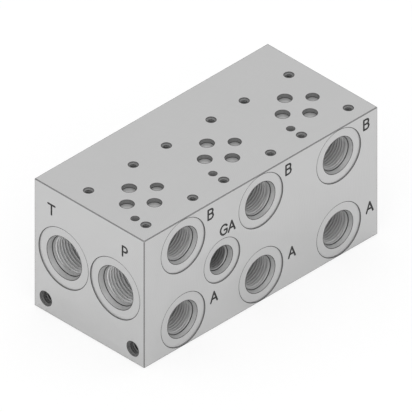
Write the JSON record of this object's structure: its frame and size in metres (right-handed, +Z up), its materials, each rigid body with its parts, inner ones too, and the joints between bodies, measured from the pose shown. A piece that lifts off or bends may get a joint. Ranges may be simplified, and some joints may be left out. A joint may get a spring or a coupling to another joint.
{
  "type": "hydraulic valve subplate",
  "caption": "Square aluminium bar manifold that carries a row of directional valves on top, with threaded hose ports in its front and left end.",
  "frame": {"origin": "centre of the underside, on the surface that the block stands on", "axes": "+X along the bar to the right seen from the work ports, +Y to the rear, away from the work ports, +Z up, out of the valve face"},
  "size_m": [0.162, 0.0762, 0.0762],
  "materials": {
    "manifold_block": "machined, bare"
  },
  "bodies": {
    "root": {"manifold_block": "manifold_block"}
  },
  "joints": []
}
